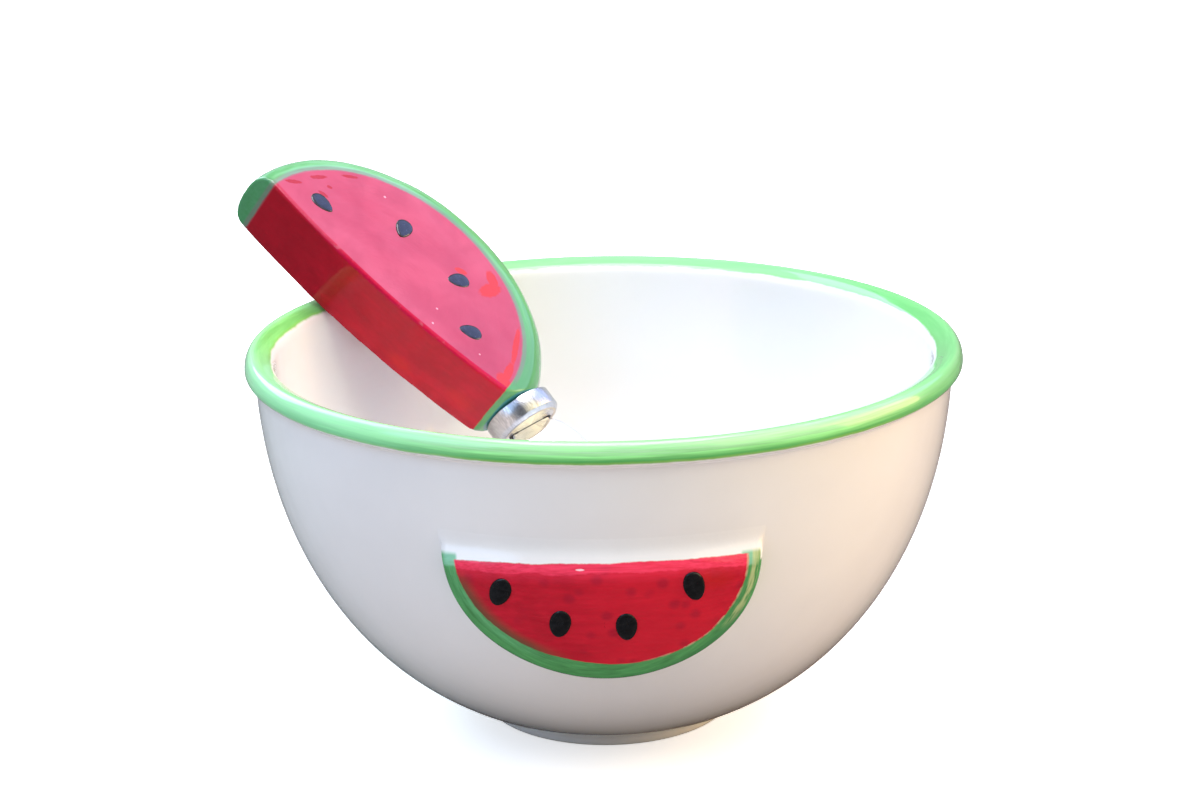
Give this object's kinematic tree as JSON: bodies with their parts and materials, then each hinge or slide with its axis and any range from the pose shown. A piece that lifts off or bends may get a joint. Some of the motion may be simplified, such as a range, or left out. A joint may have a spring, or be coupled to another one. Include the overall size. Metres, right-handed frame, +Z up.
{
  "type": "ceramic dip bowl with matching spreader",
  "caption": "Round white glazed dip bowl with a green rim bead and a raised melon slice on its front, holding a spreader with a slice-shaped ceramic handle.",
  "frame": {"origin": "under the middle of the whole's box, at the plane the foot ring stands on; the bowl's axis is 2.9 mm from it towards +X", "axes": "+Z up out of the bowl, -Y to the front with the raised slice, +X to the right seen from the front"},
  "size_m": [0.1458, 0.14, 0.1039],
  "materials": {
    "white_glaze": "gloss",
    "red_glaze": "gloss",
    "polished_steel": "polished"
  },
  "bodies": {
    "root": {"bowl": "white_glaze", "handle": "red_glaze", "ferrule": "polished_steel", "blade": "polished_steel"}
  },
  "joints": []
}
